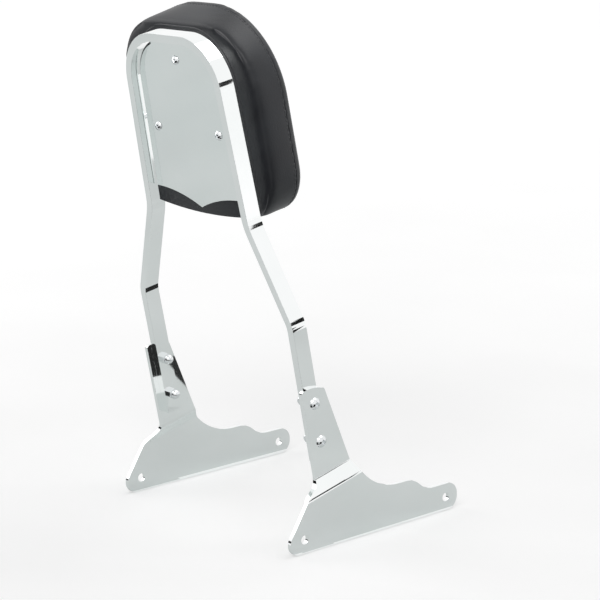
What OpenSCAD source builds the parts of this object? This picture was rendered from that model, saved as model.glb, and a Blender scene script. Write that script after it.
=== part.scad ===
// Sissy bar: a passenger backrest for a motorcycle.
// A flat bar is bent into a hoop that leans back. A plate fills its top, a stuffed pad is
// screwed on in front of the plate, and two cranked side plates carry the hoop on the
// fender struts. Millimetres, +X to the right of the bike, +Y forward, +Z up.
// The origin is on the axis of the rear strut holes, midway between the side plates.

/* [Hoop] */
// Depth of the flat bar, seen from the side
bar_depth = 19; // [14:0.5:26]
// Thickness of the flat bar, seen from behind
bar_thick = 9.5; // [7:0.5:12]
// Angle by which the hoop leans back
lean = 10.5; // [4:0.5:20]
// Half of the width over the lower legs
leg_half = 137.5; // [120:0.5:160]
// Half of the width at the upper bend
neck_half = 90.5; // [80:0.5:100]
// How much each side closes in between the upper bend and the top
side_taper = 9.8; // [5:0.1:15]
// Height of the lower bend over the strut holes
lower_bend_height = 234; // [215:1:260]
// Length of the leg below the lower bend
leg_length = 158.5; // [150:0.5:170]
// Distance from the lower bend up to the upper bend, along the lean
neck_rise = 108; // [90:1:130]
// Distance from the lower bend up to the top of the hoop, along the lean
hoop_rise = 312.5; // [295:0.5:340]
// Outside radius of the top corners
corner_radius = 58; // [44:1:66]
// Outside radius of the lower bends
lower_bend_radius = 36; // [25:1:60]
// Radius of the hollow outer side of the upper bends
upper_bend_radius = 50; // [30:1:80]

/* [Back plate] */
// Thickness of the plate inside the hoop
plate_thick = 2; // [1.5:0.5:3]
// How far the plate lies in from the rear face of the hoop
plate_recess = 9.5; // [6:0.5:11]
// Open line between the plate and the hoop
plate_gap = 3.5; // [2:0.25:5]
// Height of the point of the lower edge over the upper bend
point_rise = 7; // [4:0.5:14]
// Radius of the two scallops of the lower edge
scallop_radius = 185; // [170:1:220]
// Distance of each scallop's centre from the middle
scallop_offset = 76; // [70:1:84]
// Width of the tab that joins the plate to the top of the hoop
top_tab = 80; // [40:1:90]

/* [Pad screws] */
// Diameter of the pad screws
pad_screw = 6.35; // [5:0.05:8]
// Length of a pad screw under its head
pad_screw_length = 18.5; // [16:0.5:22]
// Distance of the upper screw below the top of the hoop
screw_drop = 30.5; // [26:0.5:40]
// Distance from the upper screw down to the lower ones
screw_rows = 79; // [60:0.5:95]
// Distance of each lower screw from the middle
screw_side = 53.5; // [45:0.5:60]

/* [Pad] */
// Thickness of the moulded base board
board_thick = 5; // [4:0.5:8]
// Thickness of the cover
cover_thick = 1.5; // [1:0.1:2.5]
// Distance from the front of the hoop to the front seam
seam_depth = 44; // [36:1:56]
// How far the front of the pad bulges past its seam
crown = 15; // [8:1:20]
// Half of the width of the pad at its lower corners, on the front seam
pad_half_low = 115; // [110:0.5:120]
// Half of the width of the pad where its sides meet its top, on the front seam
pad_half_high = 111.5; // [109:0.5:116]
// How far the lower edge of the pad hangs below the upper bend
pad_drop = 4; // [0:0.5:6]
// How far the top of the pad stands over the top of the hoop, on the front seam
pad_over = 20.5; // [14:0.5:26]
// Radius of the arched top of the pad, on the front seam
pad_arch = 98; // [80:1:108]
// Radius of the lower corners of the pad
pad_corner = 54; // [30:1:62]
// Radius of the slow curve of the lower edge
pad_sweep = 608; // [500:1:900]
// Half of the width of the pad along its rear rim
rear_half = 117; // [110:0.5:120]
// How far the rear rim of the pad stands over the top of the hoop
rear_over = 9.5; // [6:0.5:12]
// Radius of the upper corners of the rear rim
rear_corner = 72; // [40:1:90]
// How far the rounding of the rear rim reaches in over the back of the pad
rim_round = 6; // [3:0.5:9]
// How much higher the field that fills the window ends than the pad does
field_up = 3; // [0:0.5:6]
// Depth of the rounding of the rear rim
rim_depth = 3.8; // [2:0.1:6]

/* [Back welt] */
// Distance of the welt on the back of the pad from the outline of the hoop
welt_gap = 3.7; // [2:0.1:4]
// Width of the welt
welt_width = 1.5; // [1:0.1:1.5]
// How far the welt stands back from the pad
welt_high = 1.3; // [0.8:0.1:2]

/* [Side plates] */
// Thickness of the side plates
side_thick = 4.8; // [4:0.1:6]
// How far the tongue stands out behind the bar
tongue_margin = 6.5; // [4:0.5:10]
// Width of the top of the tongue
tongue_width = 32.5; // [29:0.5:36]
// Height of the shoulders of the tongue over the strut holes
tongue_top = 162; // [158:1:170]
// Rise of the crowned top of the tongue over its shoulders
tongue_crown = 3.5; // [0.5:0.5:6]
// Angle of the front edge of the tongue from upright
flare = 22; // [18:0.5:26]
// Radius of the hollow curve from the tongue to the foot
flare_radius = 72; // [55:1:85]
// Sideways step of the crank in the plate
crank_step = 10; // [6:0.5:14]
// Height of the crank, square to its folds
crank_rise = 15; // [12:0.5:18]
// Distance from the end of the leg down to the upper fold
crank_drop = 17.5; // [14:0.5:20]
// Slope of the folds, higher at the front
fold_slope = 13.5; // [8:0.5:16]
// Inside radius of the folds
fold_radius = 4; // [2:0.5:6]
// Height of the shoulder of the foot over the strut holes
foot_shoulder = 33; // [28:1:38]
// Half of the height of the foot at its ends
foot_half = 16; // [14:0.5:18]
// Distance from the rear strut hole to the rear end of the foot
foot_rear = 20; // [17:0.5:24]
// How far the rear edge steps back over the crank
step_back = 21; // [12:0.5:26]
// Angle of the rear edge of the foot from upright
rear_slope = 33; // [28:0.5:40]

/* [Strut holes] */
// Distance between the rear and front strut holes
strut_spacing = 213.5; // [190:0.5:230]
// Diameter of the strut holes
strut_hole = 10.3; // [8:0.1:13]

/* [Leg bolts] */
// Diameter of the leg bolts
leg_bolt = 7.9; // [6:0.1:9]
// Distance between the two bolts of a leg
bolt_spacing = 45; // [38:0.5:52]
// Distance from the end of the leg to the lower bolt
bolt_end = 22.5; // [18:0.5:28]
// Clearance of a bolt or screw in its hole, on the diameter
hole_clearance = 0.4; // [0.2:0.1:0.8]
// Width of the cap nuts over their flats
nut_flats = 12; // [11.5:0.1:14]
// Height of the hexagon of the cap nuts
nut_height = 6; // [5:0.5:8]

/* [Hidden] */
$fn = 96;

// Clearance that keeps soft pieces off hard ones, and a cut's overrun past a face
soft_gap = 0.3;
over = 1;
hair = 0.004;

// Bolt and screw proportions of button heads, as multiples of the shank diameter
head_wide = 1.75;
head_high = 0.53;
socket_wide = 0.62;
socket_deep = 0.33;
thread_gap = 0.1;

// Places along the lean, measured from the lower bend
leg_end = -leg_length;
bolt_low = leg_end + bolt_end;
bolt_high = bolt_low + bolt_spacing;
screw_top = hoop_rise - screw_drop;
screw_low = screw_top - screw_rows;
plate_point = neck_rise + point_rise;
pad_bottom = neck_rise - pad_drop;
pad_top = hoop_rise + pad_over;
rim_top = hoop_rise + rear_over;
fold_line = leg_end - crank_drop;
crank_angle = atan(crank_step / crank_rise);
fold_shift = side_thick * tan(crank_angle / 2);

// Places across the depth, measured forward from the rear face of the hoop
plate_front = plate_recess + plate_thick;
pad_rear = bar_depth + soft_gap;
board_rear = pad_rear + cover_thick;
board_front = board_rear + board_thick;
seam_front = bar_depth + seam_depth;

// Tee nuts that hold the pad screws in the base board
tee_flange = 19;
tee_flange_thick = 1.5;
tee_barrel = 9;
tee_room = board_front + tee_flange_thick + soft_gap;

// Outline of the hoop, right half from the leg's end up, then the left half down
neck_top = neck_half - side_taper;
leg_tail = leg_end - 40;
hoop_points = [
    [leg_half, leg_tail, 0], [leg_half, 0, lower_bend_radius],
    [neck_half, neck_rise, upper_bend_radius], [neck_top, hoop_rise, corner_radius],
    [-neck_top, hoop_rise, corner_radius], [-neck_half, neck_rise, upper_bend_radius],
    [-leg_half, 0, lower_bend_radius], [-leg_half, leg_tail, 0]];

// Height and forward place, in the part's own frame, of a point of the leaning frame
function on_lean(depth, rise) = [
    depth * cos(lean) - rise * sin(lean),
    lower_bend_height + depth * sin(lean) + rise * cos(lean)];

// Geometry of outlines: every corner is [x, y, radius], and the corners run anticlockwise.
function flat(p) = [p[0], p[1]];
function unit(v) = v / norm(v);
function cross_z(a, b) = a[0] * b[1] - a[1] * b[0];
function wrap(i, n) = (i + n) % n;
function along(points, i) = unit(flat(points[wrap(i + 1, len(points))]) - flat(points[wrap(i, len(points))]));
function turn(points, i) = atan2(cross_z(along(points, i - 1), along(points, i)),
                                 along(points, i - 1) * along(points, i));
function tangent(points, i) = points[i][2] * tan(abs(turn(points, i)) / 2);
function left_of(v) = [-v[1], v[0]];
function arc_centre(points, i) =
    flat(points[i]) - along(points, i - 1) * tangent(points, i)
    + left_of(along(points, i - 1)) * points[i][2] * sign(turn(points, i));

// The same outline moved inward by a distance, with its corners still concentric
function inset(points, distance) = [for (i = [0:len(points) - 1])
    let (bisector = left_of(unit(along(points, i - 1) + along(points, i))),
         reach = distance / cos(turn(points, i) / 2),
         moved = flat(points[i]) + bisector * reach)
    [moved[0], moved[1],
     points[i][2] == 0 ? 0 : max(0.2, points[i][2] - distance * sign(turn(points, i)))]];

function arc_start(points, i) = flat(points[i]) - along(points, i - 1) * tangent(points, i);
function arc_finish(points, i) = flat(points[i]) + along(points, i) * tangent(points, i);

// Filled outline whose corners are true arcs
module rounded(points) {
    last = len(points) - 1;
    difference() {
        union() {
            polygon([for (i = [0:last]) each points[i][2] == 0
                ? [flat(points[i])] : [arc_start(points, i), arc_finish(points, i)]]);
            for (i = [0:last])
                if (points[i][2] > 0 && turn(points, i) > 0) corner_piece(points, i);
        }
        for (i = [0:last])
            if (points[i][2] > 0 && turn(points, i) < 0) corner_piece(points, i);
    }
}

// The part of a corner's circle near its arc, cut off square where the arc meets the sides.
// The arc is a hair smaller than asked, so that its ends cross the outline cleanly.
module corner_piece(points, i) {
    centre = arc_centre(points, i);
    start = arc_start(points, i) - centre;
    finish = arc_finish(points, i) - centre;
    corner = flat(points[i]) - centre;
    translate(centre) intersection() {
        circle(r = points[i][2] - hair);
        polygon([0.9 * start, 1.1 * start, 1.1 * corner, 1.1 * finish, 0.9 * finish]);
    }
}

// Places its children in the leaning frame: X across, Y forward through the bar, Z up the lean
module leaning() {
    translate([0, 0, lower_bend_height]) rotate([lean, 0, 0]) children();
}

// An outline seen from behind, made a slab between two depths of the leaning frame
module slab(rear, front) {
    translate([0, front, 0]) rotate([90, 0, 0]) linear_extrude(front - rear) children();
}

// An outline seen from the side, made a slab between two places across the part
module side_slab(inner, outer) {
    translate([inner, 0, 0]) rotate([90, 0, 90]) linear_extrude(outer - inner) children();
}

module hoop_band() {
    difference() {
        rounded(hoop_points);
        rounded(inset(hoop_points, bar_thick));
    }
}

module hoop() {
    color([0.86, 0.88, 0.88])
    difference() {
        leaning() intersection() {
            slab(0, bar_depth) hoop_band();
            translate([0, bar_depth / 2, leg_end + hoop_rise])
                cube([3 * leg_half, 2 * bar_depth, 2 * hoop_rise], center = true);
        }
        leg_bolt_holes();
    }
}

// The four bolt holes, as long cylinders across the part
module leg_bolt_holes() {
    for (rise = [bolt_low, bolt_high])
        at_bolt(rise) cylinder(d = leg_bolt + hole_clearance, h = 4 * leg_half, center = true);
}

// A place on a leg bolt's axis at the middle of the part, with Z along +X
module at_bolt(rise) {
    place = on_lean(bar_depth / 2, rise);
    translate([0, place[0], place[1]]) rotate([0, 90, 0]) children();
}

module back_plate() {
    outline = inset(hoop_points, bar_thick + plate_gap);
    window = inset(hoop_points, bar_thick);
    top = hoop_rise - bar_thick;
    color([0.80, 0.84, 0.84])
    leaning() difference() {
        slab(plate_recess, plate_front) {
            difference() {
                rounded(outline);
                plate_trim();
            }
            intersection() {
                rounded(window);
                translate([-top_tab / 2, top - 2 * plate_gap]) square([top_tab, 2 * plate_gap]);
            }
        }
        pad_screw_axes() cylinder(d = pad_screw + hole_clearance, h = 6 * bar_depth, center = true);
    }
}

// What is cut off below the back plate: two scallops that meet in a point, and the legs
module plate_trim() {
    depth = sqrt(pow(scallop_radius, 2) - pow(scallop_offset, 2));
    for (side = [-1, 1])
        translate([side * scallop_offset, plate_point - depth]) circle(r = scallop_radius);
    translate([-2 * leg_half, leg_tail - over])
        square([4 * leg_half, plate_point - leg_tail + over]);
}

// The pad screws' axes, each a place with Z pointing forward into the pad
module pad_screw_axes() {
    for (place = [[0, screw_top], [-screw_side, screw_low], [screw_side, screw_low]])
        at_pad_screw(place) children();
}

module at_pad_screw(place) {
    translate([place[0], 0, place[1]]) rotate([-90, 0, 0]) children();
}

// One cross-section of the pad: its corners, its lower edge swept in a slow curve
function pad_section(low, high, bottom, top, arch, corner) = [
    [low, bottom, corner], [high, top, arch], [-high, top, arch], [-low, bottom, corner]];
front_section = pad_section(pad_half_low, pad_half_high, pad_bottom, pad_top, pad_arch, pad_corner);
rear_section = pad_section(rear_half, rear_half, pad_bottom, rim_top, rear_corner, pad_corner);
back_section = pad_section(rear_half - rim_round, rear_half - rim_round, pad_bottom, rim_top,
                           rear_corner - rim_round, pad_corner - rim_round);

// An outline of the pad moved inward, with the slow curve of its lower edge
module pad_outline(section, shrink) {
    intersection() {
        rounded(inset(section, shrink));
        swept_edge(shrink);
    }
}

module swept_edge(shrink) {
    translate([0, pad_bottom + pad_sweep + shrink]) circle(r = pad_sweep, $fn = 480);
}

module pad_slice(section, depth, shrink) {
    slab(depth, depth + 0.2) pad_outline(section, shrink);
}

// The stuffed body: a flat back with a rounded rim, full sides, a seam line and a crowned front
module pad_body(rear, wall) {
    hull($fn = 72) {
        pad_slice(back_section, rear, wall);
        pad_slice(rear_section, rear + rim_depth, wall);
        pad_slice(front_section, seam_front, wall);
        pad_slice(front_section, seam_front + 0.4 * crown - wall, wall + 5);
        pad_slice(front_section, seam_front + 0.78 * crown - wall, wall + 20);
        pad_slice(front_section, seam_front + crown - wall, wall + 45);
    }
}

module pad_foam() {
    color([0.88, 0.84, 0.66])
    leaning() difference() {
        intersection() {
            pad_body(board_rear, cover_thick + soft_gap);
            translate([0, board_front + 2 * seam_depth, hoop_rise / 2])
                cube([4 * leg_half, 4 * seam_depth, 2 * hoop_rise], center = true);
        }
        pad_screw_axes() cylinder(d = tee_flange + 2 * soft_gap, h = tee_room);
        pad_screw_axes() cylinder(d = tee_barrel, h = plate_recess + pad_screw_length + over);
    }
}

module pad_base_board() {
    color([0.16, 0.16, 0.17])
    leaning() difference() {
        union() {
            slab(board_rear, board_front) board_outline();
            slab(plate_front + cover_thick, board_rear + over) raised_field(cover_thick + 3 * soft_gap);
        }
        pad_screw_axes() cylinder(d = tee_barrel + thread_gap, h = 2 * board_front);
    }
}

// Outline of what stands back from the board into the window of the hoop
module raised_field(margin) {
    intersection() {
        rounded(inset(hoop_points, bar_thick + margin));
        swept_edge(field_up + margin);
    }
}

// Outline of the base board, inside the rolled rim of the cover
module board_outline() {
    pad_outline(back_section, cover_thick + soft_gap);
}

module pad_cover() {
    color([0.17, 0.18, 0.19])
    leaning() difference() {
        union() {
            pad_body(pad_rear, 0);
            slab(plate_front, board_rear) raised_field(2 * soft_gap);
        }
        // the room for the stuffing and the board, and for the board's raised field
        pad_body(board_rear, cover_thick);
        slab(plate_front + cover_thick, board_front) raised_field(cover_thick + 2 * soft_gap);
        pad_screw_axes() cylinder(d = pad_screw + 4 * hole_clearance, h = 2 * board_front);
    }
}

// A narrow raised line on the back of the pad, outside the hoop and open at the bottom
module pad_back_welt() {
    color([0.30, 0.32, 0.34])
    leaning() slab(pad_rear - welt_high, pad_rear) intersection() {
        difference() {
            rounded(inset(hoop_points, -welt_gap - welt_width));
            rounded(inset(hoop_points, -welt_gap));
        }
        swept_edge(2 * rim_round);
    }
}

// Button head with a hexagon socket on a plain shank. Z runs from the head into the work.
module button_screw(shank, length) {
    head = shank * head_wide;
    high = shank * head_high;
    ball = (pow(head / 2, 2) + pow(high, 2)) / (2 * high);
    difference() {
        union() {
            intersection() {
                translate([0, 0, ball - high]) sphere(r = ball);
                translate([0, 0, -high]) cylinder(d = head, h = high);
            }
            translate([0, 0, -0.2 * high]) cylinder(d = shank, h = length + 0.2 * high);
        }
        translate([0, 0, -high - over])
            cylinder(d = shank * socket_wide / cos(30), h = shank * socket_deep + over, $fn = 6);
    }
}

module pad_screw_at(place) {
    color([0.84, 0.85, 0.86])
    leaning() at_pad_screw(place) translate([0, 0, plate_recess])
        button_screw(pad_screw, pad_screw_length);
}

// Tee nut: a flange on the front of the board and a threaded barrel through it
module tee_nut_at(place) {
    color([0.70, 0.68, 0.60])
    leaning() at_pad_screw(place) difference() {
        union() {
            translate([0, 0, board_rear]) cylinder(d = tee_barrel, h = board_thick + over);
            translate([0, 0, board_front]) cylinder(d = tee_flange, h = tee_flange_thick);
        }
        cylinder(d = pad_screw + thread_gap, h = 2 * board_front);
    }
}

// Side view of a side plate: the tongue on the leg, the flared web and the foot on the strut
module side_outline() {
    shoulder_rise = (tongue_top - lower_bend_height) / cos(lean);
    rear_top = on_lean(-tongue_margin, shoulder_rise);
    front_top = [rear_top[0] + tongue_width, tongue_top];
    flare_foot = front_top[0] + (tongue_top - foot_shoulder) * tan(flare);
    web_rear = on_lean(-tongue_margin, fold_line - 4);
    step_rear = on_lean(-tongue_margin - step_back, fold_line - crank_rise + 2);
    tail_rise = step_rear[1] - (step_rear[0] + foot_rear) / tan(rear_slope);
    foot_front = strut_spacing + foot_half + 2;
    end_radius = foot_half - 1;
    rounded([
        [-foot_rear, -foot_half, 0.75 * foot_half],
        [foot_front, -foot_half, end_radius],
        [foot_front, foot_half, end_radius],
        [strut_spacing - 2 * foot_half, foot_half, 2 * foot_half],
        [flare_foot + flare_radius, foot_shoulder, 2 * foot_half],
        [flare_foot, foot_shoulder, flare_radius],
        [front_top[0], front_top[1], 4],
        [front_top[0] - tongue_width / 2, tongue_top + tongue_crown, 1.5 * tongue_width],
        [rear_top[0], tongue_top, 4],
        [web_rear[0], web_rear[1], 12],
        [step_rear[0], step_rear[1], 14],
        [-foot_rear, tail_rise, 0.6 * foot_half]]);
}

// Cranked sheet of the right side plate, before its outline is cut
module cranked_sheet() {
    inner = leg_half;
    outer = leg_half + side_thick;
    reach = 2 * lower_bend_height;
    bend = fold_radius + side_thick;
    place = on_lean(0, fold_line);
    translate([0, place[0], place[1]]) rotate([fold_slope, 0, 0]) slab(-reach, reach) rounded([
        [inner, reach, 0], [inner, 0, bend], [inner + crank_step, -crank_rise, fold_radius],
        [inner + crank_step, -reach, 0], [outer + crank_step, -reach, 0],
        [outer + crank_step, fold_shift - crank_rise, bend], [outer, fold_shift, fold_radius],
        [outer, reach, 0]]);
}

module side_plate() {
    color([0.88, 0.90, 0.90])
    difference() {
        intersection() {
            side_slab(leg_half - over, leg_half + crank_step + side_thick + over) side_outline();
            cranked_sheet();
        }
        leg_bolt_holes();
        for (forward = [0, strut_spacing])
            translate([0, forward, 0]) rotate([0, 90, 0]) cylinder(d = strut_hole, h = 4 * leg_half);
    }
}

module side_plate_right() {
    side_plate();
}

module side_plate_left() {
    mirror([1, 0, 0]) side_plate();
}

module leg_bolt_at(rise) {
    length = side_thick + bar_thick + nut_height;
    color([0.84, 0.85, 0.86])
    at_bolt(rise) translate([0, 0, leg_half + side_thick]) rotate([180, 0, 0])
        button_screw(leg_bolt, length);
}

// Cap nut inside a leg: a hexagon with a domed end and a blind hole for the bolt
module cap_nut_at(rise) {
    dome = nut_flats / 2 - 0.5;
    color([0.82, 0.83, 0.84])
    at_bolt(rise) translate([0, 0, leg_half - bar_thick]) rotate([180, 0, 0]) difference() {
        union() {
            intersection() {
                cylinder(d = nut_flats / cos(30), h = nut_height, $fn = 6);
                cylinder(d = nut_flats * 1.1, h = nut_height);
            }
            translate([0, 0, nut_height - 1]) cylinder(r = dome, h = 2);
            translate([0, 0, nut_height + 1]) sphere(r = dome);
        }
        translate([0, 0, -over]) cylinder(d = leg_bolt + thread_gap, h = nut_height + over + 0.5);
    }
}

hoop();
back_plate();
pad_base_board();
pad_foam();
pad_cover();
pad_back_welt();
tee_nut_at([0, screw_top]);  // pad_tee_nut_top
tee_nut_at([-screw_side, screw_low]);  // pad_tee_nut_left
tee_nut_at([screw_side, screw_low]);  // pad_tee_nut_right
pad_screw_at([0, screw_top]);  // pad_screw_top
pad_screw_at([-screw_side, screw_low]);  // pad_screw_left
pad_screw_at([screw_side, screw_low]);  // pad_screw_right
side_plate_left();
side_plate_right();
mirror([1, 0, 0]) leg_bolt_at(bolt_high);  // bolt_left_upper
mirror([1, 0, 0]) leg_bolt_at(bolt_low);  // bolt_left_lower
leg_bolt_at(bolt_high);  // bolt_right_upper
leg_bolt_at(bolt_low);  // bolt_right_lower
mirror([1, 0, 0]) cap_nut_at(bolt_high);  // cap_nut_left_upper
mirror([1, 0, 0]) cap_nut_at(bolt_low);  // cap_nut_left_lower
cap_nut_at(bolt_high);  // cap_nut_right_upper
cap_nut_at(bolt_low);  // cap_nut_right_lower
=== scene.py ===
# %% [markdown]
# # A sissy bar, finished in Blender
# The object is a motorcycle's passenger backrest: a bent flat chrome bar, a thin chrome plate in its top,
# a stuffed pad in front of the plate, and two cranked side plates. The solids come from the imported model.
# This file adds what the eye wants: polished edges, a soft pad with its seam, and the finishes.
# Everything is in metres. +X is to the right of the bike, +Y forward, +Z up.

# %% Load the frame
import math
import bmesh
import bpy
from mathutils import Matrix, Vector


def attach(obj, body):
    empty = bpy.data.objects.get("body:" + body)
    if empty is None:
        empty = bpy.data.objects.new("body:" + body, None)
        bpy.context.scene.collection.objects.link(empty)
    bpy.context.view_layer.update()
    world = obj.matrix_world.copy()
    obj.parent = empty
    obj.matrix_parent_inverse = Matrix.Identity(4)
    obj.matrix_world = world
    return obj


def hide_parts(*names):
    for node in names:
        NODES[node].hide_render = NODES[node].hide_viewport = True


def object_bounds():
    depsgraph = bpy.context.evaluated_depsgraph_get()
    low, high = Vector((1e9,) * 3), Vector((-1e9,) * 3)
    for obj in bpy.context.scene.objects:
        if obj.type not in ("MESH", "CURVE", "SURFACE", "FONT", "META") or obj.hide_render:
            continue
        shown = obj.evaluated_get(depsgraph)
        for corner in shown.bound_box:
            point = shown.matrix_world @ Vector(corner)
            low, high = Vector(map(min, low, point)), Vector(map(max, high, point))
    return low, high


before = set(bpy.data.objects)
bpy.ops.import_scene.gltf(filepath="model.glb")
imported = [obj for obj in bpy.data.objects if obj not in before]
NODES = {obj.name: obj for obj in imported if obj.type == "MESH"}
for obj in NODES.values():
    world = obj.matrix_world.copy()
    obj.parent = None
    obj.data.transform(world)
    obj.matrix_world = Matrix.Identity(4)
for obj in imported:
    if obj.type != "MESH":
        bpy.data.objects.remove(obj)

CAD_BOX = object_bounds()
MM = 0.001
print("nodes:", len(NODES), "box:", [[round(c, 4) for c in corner] for corner in CAD_BOX])

# %% [markdown]
# ## The camera
# The photograph looks at the bar from behind and from the right, a little from above, through a long
# lens. Place, turn and focal length come from a least-squares fit of 80 points on the bar's edges and
# bolts. The three axes are written out, because a fitted camera has a little roll that no pair of angles
# gives.

# %% Camera
CAMERA_PLACE = Vector((1.776735, -1.374786, 0.762199))
CAMERA_RIGHT = Vector((0.6484245, 0.7611100, -0.0160397))
CAMERA_UP = Vector((-0.1622324, 0.1587373, 0.9739010))
CAMERA_BACK = Vector((0.7437919, -0.6288991, 0.2264059))
IMAGE_SIDE = 600
FOCAL_PIXELS = 2066.88

camera_data = bpy.data.cameras.new("photo_camera")
camera_data.sensor_fit = "HORIZONTAL"
camera_data.sensor_width = 36.0
camera_data.lens = FOCAL_PIXELS * camera_data.sensor_width / IMAGE_SIDE
camera = bpy.data.objects.new("photo_camera", camera_data)
bpy.context.scene.collection.objects.link(camera)
axes = Matrix((CAMERA_RIGHT, CAMERA_UP, CAMERA_BACK)).transposed()
camera.matrix_world = Matrix.Translation(CAMERA_PLACE) @ axes.to_4x4()
bpy.context.scene.camera = camera
print("lens", round(camera_data.lens, 2), "mm")

# %% [markdown]
# ## Helpers for the rest of the lesson
# A CAD node arrives as loose triangles. A copy is merged before anything is done to it, so that edges can
# be found and rounded. Selection is always cleared first, because an operator acts on all that is
# selected.

# %% Small helpers
MERGE_WITHIN = 0.04 * MM
FLAT_TURN = math.radians(0.4)


def pick(*objects):
    bpy.ops.object.select_all(action="DESELECT")
    for one in objects:
        one.select_set(True)
    bpy.context.view_layer.objects.active = objects[-1]


def copy_of(node, name):
    """A copy of a CAD node's mesh, merged and with its flat faces joined."""
    source = NODES[node]
    piece = bpy.data.objects.new(name, source.data.copy())
    bpy.context.scene.collection.objects.link(piece)
    piece.matrix_world = source.matrix_world
    pick(piece)
    bpy.ops.object.mode_set(mode="EDIT")
    bpy.ops.mesh.select_all(action="SELECT")
    bpy.ops.mesh.remove_doubles(threshold=MERGE_WITHIN)
    bpy.ops.mesh.dissolve_limited(angle_limit=FLAT_TURN)
    bpy.ops.object.mode_set(mode="OBJECT")
    return piece


def apply_all(piece):
    pick(piece)
    for modifier in list(piece.modifiers):
        bpy.ops.object.modifier_apply(modifier=modifier.name)


def select_where(piece, test):
    """In edit mode, selects the vertices that pass the test, and no others."""
    bpy.ops.object.mode_set(mode="EDIT")
    bpy.ops.mesh.select_mode(type="VERT")
    bpy.ops.mesh.select_all(action="DESELECT")
    sheet = bmesh.from_edit_mesh(piece.data)
    for vertex in sheet.verts:
        vertex.select = test(vertex.co)
    bmesh.update_edit_mesh(piece.data)


def dress(piece, material):
    piece.data.materials.clear()
    piece.data.materials.append(material)


def facts(piece):
    size = [round(1000 * d, 1) for d in piece.dimensions]
    print(piece.name, "faces", len(piece.data.polygons), "size mm", size)


# %% [markdown]
# ## Chrome
# Chrome plate is a mirror: almost no colour of its own, and very little blur. What makes it look real is
# that it isn't perfect. Polished steel keeps a faint waviness, so the reflections swim a little, and its
# gloss changes slightly from place to place. One helper makes the four chromes with their own numbers.

# %% Node helper and the chrome recipe
def new_material(name):
    material = bpy.data.materials.new(name)
    material.use_nodes = True
    tree = material.node_tree
    shader = tree.nodes["Principled BSDF"]
    return material, tree, shader


def noise_on(tree, scale, detail, centre=(0.0, 0.0, 0.0), roughness=0.5):
    """Noise on the piece's own object coordinates, moved so that the pattern sits on the piece."""
    place = tree.nodes.new("ShaderNodeTexCoord")
    mapping = tree.nodes.new("ShaderNodeMapping")
    mapping.inputs["Location"].default_value = centre
    noise = tree.nodes.new("ShaderNodeTexNoise")
    noise.inputs["Scale"].default_value = scale
    noise.inputs["Detail"].default_value = detail
    noise.inputs["Roughness"].default_value = roughness
    tree.links.new(place.outputs["Object"], mapping.inputs["Vector"])
    tree.links.new(mapping.outputs["Vector"], noise.inputs["Vector"])
    return noise


def ranged(tree, source, low, high):
    """A value from 0 to 1, stretched from low to high."""
    change = tree.nodes.new("ShaderNodeMapRange")
    change.inputs["To Min"].default_value = low
    change.inputs["To Max"].default_value = high
    tree.links.new(source, change.inputs["Value"])
    return change.outputs["Result"]


def tinted(tree, source, first, second):
    """A blend of two colours, with the step between them in the middle of the noise."""
    ramp = tree.nodes.new("ShaderNodeValToRGB")
    for element, position, colour in zip(ramp.color_ramp.elements, (0.35, 0.65), (first, second)):
        element.position = position
        element.color = (*colour, 1.0)
    tree.links.new(source, ramp.inputs["Fac"])
    return ramp.outputs["Color"]


def bumped(tree, shader, height, distance, strength=1.0, invert=False):
    """Sends a height through a Bump node into the shader's normal."""
    bump = tree.nodes.new("ShaderNodeBump")
    bump.invert = invert
    bump.inputs["Strength"].default_value = strength
    bump.inputs["Distance"].default_value = distance
    tree.links.new(height, bump.inputs["Height"])
    tree.links.new(bump.outputs["Normal"], shader.inputs["Normal"])


def chrome(name, dark, pale, gloss, wave, wave_scale):
    material, tree, shader = new_material(name)
    shader.inputs["Metallic"].default_value = 1.0
    cloud = noise_on(tree, scale=9.0, detail=3.0, centre=(0.3, 0.1, 0.2))
    tree.links.new(tinted(tree, cloud.outputs["Fac"], dark, pale), shader.inputs["Base Color"])
    fine = noise_on(tree, scale=60.0, detail=4.0, centre=(0.1, 0.4, 0.7))
    tree.links.new(ranged(tree, fine.outputs["Fac"], *gloss), shader.inputs["Roughness"])
    swell = noise_on(tree, scale=wave_scale, detail=1.0, centre=(0.6, 0.2, 0.9))
    bumped(tree, shader, swell.outputs["Fac"], wave)
    return material


BIG_WAVE = 0.04 * MM
SMALL_WAVE = 0.02 * MM
BRIGHT = ((0.90, 0.925, 0.92), (0.94, 0.955, 0.955), (0.02, 0.05), BIG_WAVE)
bar_chrome = chrome("bar_chrome", *BRIGHT, wave_scale=14.0)
side_chrome = chrome("side_chrome", *BRIGHT, wave_scale=12.0)
plate_chrome = chrome("plate_chrome", (0.86, 0.90, 0.895), (0.90, 0.93, 0.925), (0.03, 0.07),
                      BIG_WAVE, wave_scale=10.0)
screw_chrome = chrome("screw_chrome", (0.78, 0.80, 0.81), (0.86, 0.88, 0.89), (0.04, 0.10),
                      SMALL_WAVE, wave_scale=160.0)
print("chromes:", bar_chrome.name, plate_chrome.name, side_chrome.name, screw_chrome.name)

# %% [markdown]
# ## Bar and plates
# The solids have knife-sharp edges. Before plating, the real edges are buffed round, and the thin bright
# and dark lines along a chrome edge come from that. So each big chrome piece is a merged copy of its
# solid with a Bevel modifier: only the edges that turn by more than 40 degrees are rounded. Weighted
# normals then keep the flat faces flat in the mirror, and leave the shading's turn to the narrow rounded
# strips.

# %% Rounded copies of the chrome pieces
BUFFED_OVER = math.radians(40)
SMOOTH_UNDER = math.radians(35)
FLATS_ONLY = 100


def rounded(piece, width, over):
    rounding = piece.modifiers.new("rounded edges", "BEVEL")
    rounding.width = width
    rounding.segments = 3
    rounding.limit_method = "ANGLE"
    rounding.angle_limit = over
    apply_all(piece)


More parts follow.
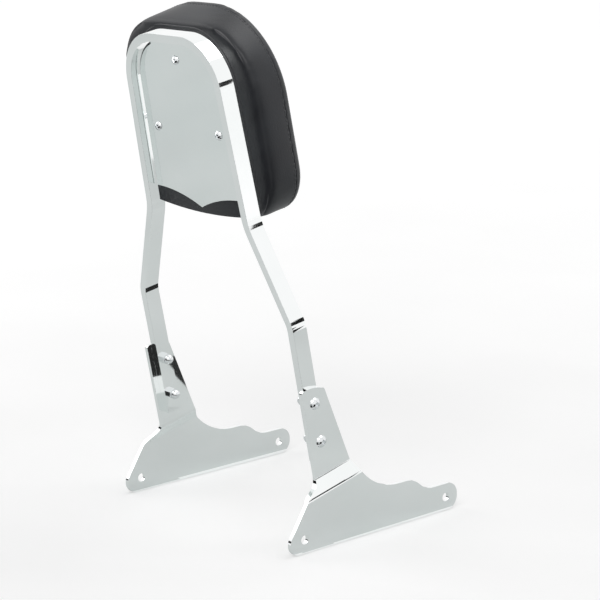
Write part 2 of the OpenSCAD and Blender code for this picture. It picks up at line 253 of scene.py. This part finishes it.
def buffed(node, name, radius, material):
    piece = copy_of(node, name)
    rounded(piece, radius, BUFFED_OVER)
    bpy.ops.object.shade_smooth_by_angle(angle=SMOOTH_UNDER)
    flats = piece.modifiers.new("flat faces lead", "WEIGHTED_NORMAL")
    flats.weight = FLATS_ONLY
    flats.keep_sharp = True
    apply_all(piece)
    dress(piece, material)
    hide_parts(node)
    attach(piece, "root")
    facts(piece)


buffed("hoop", "polished_hoop", 1.2 * MM, bar_chrome)
buffed("back_plate", "polished_back_plate", 0.4 * MM, plate_chrome)
buffed("side_plate_left", "polished_side_plate_left", 0.7 * MM, side_chrome)
buffed("side_plate_right", "polished_side_plate_right", 0.7 * MM, side_chrome)

# %% [markdown]
# ## Screws, nuts and bolts
# The fasteners are right as solids. They only need their own chrome, which is a little duller than the
# bar's, because small turned parts are plated without hand polishing.

# %% Fasteners
fasteners = [name for name in NODES if name.startswith(("bolt_", "cap_nut_", "pad_screw_"))]
for name in fasteners:
    dress(NODES[name], screw_chrome)
print("fasteners:", len(fasteners))

# %% [markdown]
# ## Hidden parts of the pad
# Nobody sees the moulded board, the foam and the tee nuts, but they are part of the object and get plain
# honest finishes: matt plastic with a fine grain, pale open-cell foam, and dull zinc.

# %% Board, foam and tee nuts
def rough_finish(name, dark, pale, scale, rough, bump_height, metal=0.0):
    material, tree, shader = new_material(name)
    shader.inputs["Metallic"].default_value = metal
    grain = noise_on(tree, scale, detail=5.0, centre=(0.2, 0.5, 0.3))
    tree.links.new(tinted(tree, grain.outputs["Fac"], dark, pale), shader.inputs["Base Color"])
    tree.links.new(ranged(tree, grain.outputs["Fac"], *rough), shader.inputs["Roughness"])
    bumped(tree, shader, grain.outputs["Fac"], bump_height)
    return material


board_plastic = rough_finish("board_plastic", (0.04, 0.04, 0.043), (0.055, 0.055, 0.06),
                             scale=900.0, rough=(0.5, 0.65), bump_height=0.1 * MM)
foam_cells = rough_finish("foam_cells", (0.72, 0.65, 0.42), (0.86, 0.80, 0.58),
                          scale=700.0, rough=(0.85, 0.95), bump_height=0.4 * MM)
zinc = rough_finish("zinc_plate", (0.55, 0.53, 0.46), (0.66, 0.64, 0.58),
                    scale=300.0, rough=(0.25, 0.4), bump_height=0.02 * MM, metal=1.0)
TEE_NUTS = ("pad_tee_nut_top", "pad_tee_nut_left", "pad_tee_nut_right")
dress(NODES["pad_base_board"], board_plastic)
dress(NODES["pad_foam"], foam_cells)
for name in TEE_NUTS:
    dress(NODES[name], zinc)
print("hidden pieces dressed:", 2 + len(TEE_NUTS))

# %% [markdown]
# ## Black vinyl
# The cover is a satin vinyl: nearly black, a little blue, with a pressed leather grain of small pebbles
# about 1.5 mm across. Voronoi cells make the pebbles, a fine noise breaks them up, and a slow noise
# changes the gloss, because hands and weather polish vinyl unevenly.

# %% Vinyl
DARK_VINYL = (0.009, 0.010, 0.013)
PALE_VINYL = (0.015, 0.017, 0.021)
VINYL_GLOSS = (0.34, 0.46)
vinyl, vinyl_tree, vinyl_shader = new_material("black_vinyl")
cloud = noise_on(vinyl_tree, scale=22.0, detail=3.0, centre=(0.4, 0.3, 0.1))
vinyl_tint = tinted(vinyl_tree, cloud.outputs["Fac"], DARK_VINYL, PALE_VINYL)
vinyl_rough = ranged(vinyl_tree, cloud.outputs["Fac"], *VINYL_GLOSS)
vinyl_tree.links.new(vinyl_tint, vinyl_shader.inputs["Base Color"])
vinyl_tree.links.new(vinyl_rough, vinyl_shader.inputs["Roughness"])
vinyl_shader.inputs["Specular IOR Level"].default_value = 0.40

PEBBLE_SCALE = 700.0
FINE_SCALE = 1500.0
FINE_SHARE = 0.3
GRAIN_HEIGHT = 0.2 * MM
vinyl_place = vinyl_tree.nodes.new("ShaderNodeTexCoord")
pebbles = vinyl_tree.nodes.new("ShaderNodeTexVoronoi")
pebbles.feature = "SMOOTH_F1"
pebbles.inputs["Scale"].default_value = PEBBLE_SCALE
fine = noise_on(vinyl_tree, FINE_SCALE, detail=2.0, centre=(0.7, 0.7, 0.1))
grain_mix = vinyl_tree.nodes.new("ShaderNodeMath")
grain_mix.operation = "MULTIPLY_ADD"
grain_mix.inputs[1].default_value = FINE_SHARE
vinyl_tree.links.new(vinyl_place.outputs["Object"], pebbles.inputs["Vector"])
vinyl_tree.links.new(fine.outputs["Fac"], grain_mix.inputs[0])
vinyl_tree.links.new(pebbles.outputs["Distance"], grain_mix.inputs[2])
bumped(vinyl_tree, vinyl_shader, grain_mix.outputs["Value"], GRAIN_HEIGHT, strength=0.5, invert=True)
print("vinyl nodes:", len(vinyl_tree.nodes))

# %% [markdown]
# ## The pad
# A stuffed pad is a crowned closed form: sides full, front bulging past the seam, back flat against the
# hoop. It starts as the hull of that part of the cover's solid that lies in front of the hoop. A voxel
# remesh gives it even cells, and a short cloth simulation with air pressure blows it up like the foam
# does. Its back stays pinned, because there it lies on the board, the seam is held in, and no point may
# move further than a few millimetres. Depth is measured forward from the hoop's rear face, square to it,
# and rise along its lean.

# %% Directions of the leaning hoop
LEAN = math.radians(10.5)
BEND_HEIGHT = 0.234
FORWARD = Vector((0.0, math.cos(LEAN), math.sin(LEAN)))
ALONG = Vector((0.0, -math.sin(LEAN), math.cos(LEAN)))
ORIGIN = Vector((0.0, 0.0, BEND_HEIGHT))


def depth_of(point):
    return (point - ORIGIN).dot(FORWARD)


def rise_of(point):
    return (point - ORIGIN).dot(ALONG)


print("lean", round(math.degrees(LEAN), 2), "degrees, from", BEND_HEIGHT, "m up")


# %% Pad: hull and remesh
BODY_REAR = 19.1 * MM
VOXEL = 4.0 * MM
pad = copy_of("pad_cover", "stuffed_pad_cover")
select_where(pad, lambda point: depth_of(point) < BODY_REAR)
bpy.ops.mesh.delete(type="VERT")
bpy.ops.mesh.select_all(action="SELECT")
bpy.ops.mesh.convex_hull()
bpy.ops.object.mode_set(mode="OBJECT")
pad.data.remesh_voxel_size = VOXEL
pad.data.remesh_voxel_adaptivity = 0.0
bpy.ops.object.voxel_remesh()
facts(pad)

# %% Pad: blow it up
PIN_DEPTH = 21.0 * MM
SEAM_DEPTH = 63.0 * MM
SEAM_HALF = 3.0 * MM
SEAM_HOLD = 0.85
MOST_MOVE = 5.0 * MM
CLOTH_FRAMES = 20
AIR_PRESSURE = 4.0
CLOTH_STIFFNESS = 25.0


def blow_up(piece):
    start = [v.co.copy() for v in piece.data.vertices]
    pins = piece.vertex_groups.new(name="pinned")
    for vertex in piece.data.vertices:
        depth = depth_of(vertex.co)
        if depth < PIN_DEPTH:
            pins.add([vertex.index], 1.0, "REPLACE")
        elif abs(depth - SEAM_DEPTH) < SEAM_HALF:
            pins.add([vertex.index], SEAM_HOLD, "REPLACE")
    cloth = piece.modifiers.new("air", "CLOTH")
    cloth.settings.use_pressure = True
    cloth.settings.uniform_pressure_force = AIR_PRESSURE
    cloth.settings.effector_weights.gravity = 0.0
    cloth.settings.vertex_group_mass = "pinned"
    cloth.settings.tension_stiffness = CLOTH_STIFFNESS
    cloth.settings.compression_stiffness = CLOTH_STIFFNESS
    cloth.settings.quality = 6
    cloth.point_cache.frame_start = 1
    cloth.point_cache.frame_end = CLOTH_FRAMES
    for number in range(1, CLOTH_FRAMES + 1):
        bpy.context.scene.frame_set(number)
    pick(piece)
    bpy.ops.object.modifier_apply(modifier=cloth.name)
    bpy.context.scene.frame_set(1)
    most = 0.0
    for vertex, place in zip(piece.data.vertices, start):
        step = vertex.co - place
        most = max(most, step.length)
        if step.length > MOST_MOVE:
            vertex.co = place + step.normalized() * MOST_MOVE
    piece.vertex_groups.clear()
    print("largest cloth move mm", round(1000 * most, 2))


blow_up(pad)

# %% [markdown]
# A blown-up remesh still has small steps, so the skin is smoothed. Smoothing also cuts the corner at the
# front edge, where the skin could sink into the foam. A shrinkwrap that only acts on points inside the
# foam, or too near to it, lifts the skin off the foam again. A vertex group keeps it to the front part of
# the pad and fades it in.

# %% Pad: smooth the skin and keep it over the foam
GUARD_FROM = 44.0 * MM
GUARD_FADE = 8.0 * MM
SKIN_OVER_FOAM = 1.5 * MM
GROOVE_OVER_FOAM = 0.6 * MM
SMOOTH_FIRST = 18
SMOOTH_AFTER = 4


def keep_over_foam(piece, gap):
    front = piece.vertex_groups.get("front") or piece.vertex_groups.new(name="front")
    for vertex in piece.data.vertices:
        share = (depth_of(vertex.co) - GUARD_FROM) / GUARD_FADE
        front.add([vertex.index], min(1.0, max(0.0, share)), "REPLACE")
    guard = piece.modifiers.new("skin over foam", "SHRINKWRAP")
    guard.vertex_group = front.name
    guard.target = NODES["pad_foam"]
    guard.wrap_method = "NEAREST_SURFACEPOINT"
    guard.wrap_mode = "OUTSIDE"
    guard.offset = gap


def even_skin(piece, rounds):
    swell = piece.modifiers.new("even skin", "SMOOTH")
    swell.factor = 0.5
    swell.iterations = rounds


even_skin(pad, SMOOTH_FIRST)
keep_over_foam(pad, SKIN_OVER_FOAM)
even_skin(pad, SMOOTH_AFTER)
finer = pad.modifiers.new("finer skin", "SUBSURF")
finer.levels = finer.render_levels = 1
apply_all(pad)
facts(pad)

# %% [markdown]
# ## The pad's front seam
# The front panel is sewn to the side panel, and the thread pulls the vinyl in along the seam. The groove
# is cut after the skin is smooth, since a remesh would rub it out: bisect adds three edge loops, and the
# middle one is drawn in. A row of short stitches lies on the side panel, just behind the groove.

# %% Pad: seam groove
GROOVE_PLACE = 57.5 * MM
GROOVE_HALF = 1.1 * MM
GROOVE_DEPTH = 2.0 * MM
ON_THE_LOOP = 0.02 * MM
pick(pad)
bpy.ops.object.mode_set(mode="EDIT")
for offset in (-GROOVE_HALF, GROOVE_HALF, 0.0):
    bpy.ops.mesh.select_all(action="SELECT")
    bpy.ops.mesh.bisect(plane_co=ORIGIN + FORWARD * (GROOVE_PLACE + offset), plane_no=FORWARD)
bpy.ops.object.mode_set(mode="OBJECT")
normals = [v.normal.copy() for v in pad.data.vertices]
seam_places = []
for vertex, normal in zip(pad.data.vertices, normals):
    if abs(depth_of(vertex.co) - GROOVE_PLACE) < ON_THE_LOOP:
        seam_places.append(vertex.co.copy())
        vertex.co -= (normal - FORWARD * normal.dot(FORWARD)).normalized() * GROOVE_DEPTH
keep_over_foam(pad, GROOVE_OVER_FOAM)
apply_all(pad)
print("seam points:", len(seam_places))

# %% Stitches: one, then many
STITCH_PITCH = 5.0 * MM
STITCH_LONG = 3.2 * MM
STITCH_THICK = 0.7 * MM
STITCH_BACK = 2.2 * MM
STITCH_LIFT = 0.05 * MM
PAD_MIDDLE = 0.215


def turn_of(point):
    return math.atan2(rise_of(point) - PAD_MIDDLE, point.x)


seam_places.sort(key=turn_of)
ring = [place - FORWARD * STITCH_BACK for place in seam_places]
spots = []
left_over = 0.0
for here, ahead in zip(ring, ring[1:] + ring[:1]):
    step = (ahead - here).length
    while left_over < step:
        spots.append((here.lerp(ahead, left_over / max(step, 1e-9)), (ahead - here).normalized()))
        left_over += STITCH_PITCH
    left_over -= step
bpy.ops.object.select_all(action="DESELECT")
bpy.ops.mesh.primitive_uv_sphere_add(segments=8, ring_count=6, radius=0.5)
stitch = bpy.context.object
stitch.name = "one_stitch"
for vertex in stitch.data.vertices:
    vertex.co = Vector((vertex.co.x * STITCH_LONG, vertex.co.y * STITCH_THICK, vertex.co.z * STITCH_THICK))
rows = []
for spot, heading in spots:
    _, place, normal, _ = pad.closest_point_on_mesh(spot)
    side = normal.cross(heading).normalized()
    turned = Matrix((heading, side, normal)).transposed().to_4x4()
    one = stitch.copy()
    one.data = stitch.data.copy()
    bpy.context.scene.collection.objects.link(one)
    one.data.transform(Matrix.Translation(place + normal * STITCH_LIFT) @ turned)
    rows.append(one)
bpy.data.objects.remove(stitch)
pick(*rows)
bpy.ops.object.join()
stitches = bpy.context.object
stitches.name = "seam_stitches"
bpy.ops.object.shade_smooth()
print("stitches:", len(rows))

# %% [markdown]
# ## The field in the window, and the finished cover
# Behind the plate the cover stands back into the window of the hoop as a flat field. Its outline is taken
# from the solid's own rear face, which is extruded forward into the pad as one more closed form.

# %% Window field
FIELD_DEPTH = 11.6 * MM
FIELD_DEEP = 11.0 * MM
FIELD_BACK = 0.1 * MM
FIELD_EDGE = 0.3 * MM
field = copy_of("pad_cover", "window_field")
select_where(field, lambda point: depth_of(point) > FIELD_DEPTH)
bpy.ops.mesh.delete(type="VERT")
bpy.ops.mesh.select_all(action="SELECT")
bpy.ops.transform.translate(value=FORWARD * FIELD_BACK)
bpy.ops.mesh.extrude_region_move(TRANSFORM_OT_translate={"value": FORWARD * FIELD_DEEP})
bpy.ops.mesh.select_all(action="SELECT")
bpy.ops.mesh.normals_make_consistent(inside=False)
bpy.ops.object.mode_set(mode="OBJECT")
rounded(field, FIELD_EDGE, math.radians(50))
facts(field)

# %% Join and finish the cover
pick(field, pad)
bpy.ops.object.join()
bpy.ops.object.shade_smooth_by_angle(angle=math.radians(40))
dress(NODES["pad_back_welt"], vinyl)
for piece in (pad, stitches):
    dress(piece, vinyl)
    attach(piece, "root")
    facts(piece)
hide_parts("pad_cover")

# %% [markdown]
# The whole pad is left out of mirrors: the photo's chrome shows a white room on the bar's outer sides,
# where a real mirror would show the black pad beside it.

# %% The pad in mirrors
PAD_NODES = ("pad_foam", "pad_base_board", "pad_back_welt", *TEE_NUTS)
unmirrored = [NODES[name] for name in PAD_NODES] + [pad, stitches]
for piece in unmirrored:
    piece.visible_glossy = False
print("left out of mirrors:", len(unmirrored))

# %% [markdown]
# ## The studio
# Chrome shows the room more than itself. The room is plain: a white floor, a soft white sky, and three
# big soft lamps. The floor glows a little where the camera or a mirror sees it, and more with distance,
# so that it runs into the sky without a line.

# %% Floor
FLOOR_HEIGHT = CAD_BOX[0][2] - 0.0004
FLOOR_SIDE = 80.0


def mirror_or_camera(tree):
    """1 for what the camera or a mirror sees, and 0 for the light that falls on things."""
    paths = tree.nodes.new("ShaderNodeLightPath")
    either = tree.nodes.new("ShaderNodeMath")
    either.operation = "MAXIMUM"
    tree.links.new(paths.outputs["Is Camera Ray"], either.inputs[0])
    tree.links.new(paths.outputs["Is Glossy Ray"], either.inputs[1])
    return either.outputs["Value"]


def laid(name, side, dark, pale):
    """A flat square sheet on the studio floor, with a faintly uneven paint."""
    bpy.ops.object.select_all(action="DESELECT")
    bpy.ops.mesh.primitive_plane_add(size=side, location=(0.0, 0.0, FLOOR_HEIGHT))
    sheet_piece = bpy.context.object
    sheet_piece.name = name
    paint, tree, shader = new_material(name + "_paint")
    shader.inputs["Roughness"].default_value = 0.9
    shader.inputs["Specular IOR Level"].default_value = 0.1
    speck = noise_on(tree, scale=3.0, detail=2.0)
    tree.links.new(tinted(tree, speck.outputs["Fac"], dark, pale), shader.inputs["Base Color"])
    sheet_piece.data.materials.append(paint)
    return sheet_piece, tree, shader


GLOW = (("From Min", 0.5), ("From Max", 3.5), ("To Min", 0.12), ("To Max", 0.46))
_, floor_tree, floor_shader = laid("floor", FLOOR_SIDE, (0.90, 0.90, 0.90), (0.92, 0.92, 0.92))
floor_seen = mirror_or_camera(floor_tree)
floor_shader.inputs["Emission Color"].default_value = (1.0, 1.0, 1.0, 1.0)
floor_place = floor_tree.nodes.new("ShaderNodeTexCoord")
floor_far = floor_tree.nodes.new("ShaderNodeVectorMath")
floor_far.operation = "LENGTH"
floor_tree.links.new(floor_place.outputs["Object"], floor_far.inputs[0])
floor_glow = floor_tree.nodes.new("ShaderNodeMapRange")
for socket, value in GLOW:
    floor_glow.inputs[socket].default_value = value
floor_tree.links.new(floor_far.outputs["Value"], floor_glow.inputs["Value"])
floor_light = floor_tree.nodes.new("ShaderNodeMath")
floor_light.operation = "MULTIPLY"
floor_tree.links.new(floor_glow.outputs["Result"], floor_light.inputs[0])
floor_tree.links.new(floor_seen, floor_light.inputs[1])
floor_tree.links.new(floor_light.outputs["Value"], floor_shader.inputs["Emission Strength"])
print("floor at", round(FLOOR_HEIGHT, 4), "m")

# %% [markdown]
# A photographer also lays dark and grey cards beside chrome, because a polished edge looks like an edge
# only where it mirrors something darker. The cards show in mirrors alone. Their places were found by
# following the camera's rays: each ray that hits the chrome where the photo is black or grey goes on to a
# spot on a card.

# %% Cards
BLACK = ((0.012, 0.012, 0.012), (0.018, 0.018, 0.018))
GREY = ((0.66, 0.685, 0.68), (0.70, 0.725, 0.72))


def card(name, paint, corners):
    """A card with four corners in the order of the plane's own: one edge, then the edge opposite it."""
    piece, _, _ = laid(name, 1.0, *paint)
    for vertex, corner in zip(piece.data.vertices, corners):
        vertex.co = Vector(corner)
    piece.visible_camera = False
    piece.visible_diffuse = False
    piece.visible_shadow = False


def lying(name, paint, lift, *corners):
    """A card a few millimetres over the floor, so that cards that overlap don't share a plane."""
    card(name, paint, [(*corner, lift) for corner in corners])


def standing(name, low, high, foot, top=None):
    """An upright black card between two heights over the axis of the rear strut holes."""
    corners = [(*point, low - FLOOR_HEIGHT) for point in foot]
    corners += [(*point, high - FLOOR_HEIGHT) for point in top or foot]
    card(name, BLACK, corners)


LOW, HIGHER, HIGH, HIGHEST = 2 * MM, 3 * MM, 4 * MM, 6 * MM
lying("black_card_rear", BLACK, LOW, (-1.31, -1.34), (1.49, -1.56), (0.20, -0.03), (0.21, -0.04))
lying("black_card_right", BLACK, LOW, (0.20, -0.05), (2.03, -0.84), (0.20, -0.04), (2.00, 0.80))
lying("black_card_small", BLACK, HIGHEST, (0.05, 0.25), (0.34, 0.372), (0.05, 0.288), (0.34, 0.418))
lying("grey_card_left", GREY, LOW, (-3.00, -2.90), (-1.30, -1.34), (-3.00, 0.20), (0.20, 0.04))
lying("grey_card_patch", GREY, HIGH, (-0.15, -0.225), (0.60, -0.35), (-0.15, -0.30), (0.60, -0.50))
lying("grey_card_rear", GREY, LOW, (1.49, -1.56), (2.03, -0.84), (0.20, -0.05), (0.21, -0.04))
lying("grey_card_right", GREY, HIGHER, (0.00, -0.10), (2.00, 0.79), (-0.20, 0.80), (1.00, 1.10))
lying("grey_card_under", GREY, HIGH, (-0.30, -0.10), (0.00, -0.10), (-0.30, 0.80), (0.00, 0.80))
standing("black_card_folds", 0.118, 0.266, ((0.570, 0.243), (0.535, 0.283)))
standing("black_card_lower_bend", 0.281, 0.327, ((0.344, 0.136), (0.344, 0.160)))
standing("black_card_fold_end", 0.118, 0.215, ((0.535, 0.283), (0.520, 0.300)))
standing("black_card_upper_bend", 0.595, 0.800,
         ((1.3325, 0.820), (1.3325, 0.862)), ((1.3325, 0.795), (1.3325, 0.848)))
standing("black_card_back", FLOOR_HEIGHT, 0.80 + FLOOR_HEIGHT, ((-2.20, -1.60), (0.20, -2.40)))
print("cards laid")

# %% Sky
world = bpy.data.worlds.new("studio_sky")
bpy.context.scene.world = world
world.use_nodes = True
sky = world.node_tree
background = sky.nodes["Background"]
background.inputs["Color"].default_value = (1.0, 1.0, 1.0, 1.0)
SKY_LIGHT = 0.60
SKY_SEEN = 1.0
sky.links.new(ranged(sky, mirror_or_camera(sky), SKY_LIGHT, SKY_SEEN), background.inputs["Strength"])
print("sky:", background.inputs["Color"].default_value[:])

# %% [markdown]
# Three area lamps light the bar: a key from behind and the right, a wide fill from the left, and a lamp
# over the front. None of them shows in the picture.

# %% Lamps
def soft_lamp(name, place, aim, width, height, watts):
    data = bpy.data.lights.new(name, "AREA")
    data.shape = "RECTANGLE"
    data.size = width
    data.size_y = height
    data.energy = watts
    lamp = bpy.data.objects.new(name, data)
    bpy.context.scene.collection.objects.link(lamp)
    lamp.location = place
    lamp.rotation_euler = (Vector(aim) - Vector(place)).to_track_quat("-Z", "Y").to_euler()
    lamp.visible_camera = False


AIM = (0.0, 0.0, 0.3)
soft_lamp("key", (1.2, -1.6, 2.2), AIM, width=1.6, height=1.2, watts=17.0)
soft_lamp("fill", (-2.2, -0.8, 1.6), AIM, width=1.8, height=1.8, watts=10.0)
soft_lamp("top", (0.3, 1.2, 2.6), AIM, width=1.8, height=1.4, watts=13.0)
bpy.context.scene.view_settings.view_transform = "Standard"
print("studio ready")
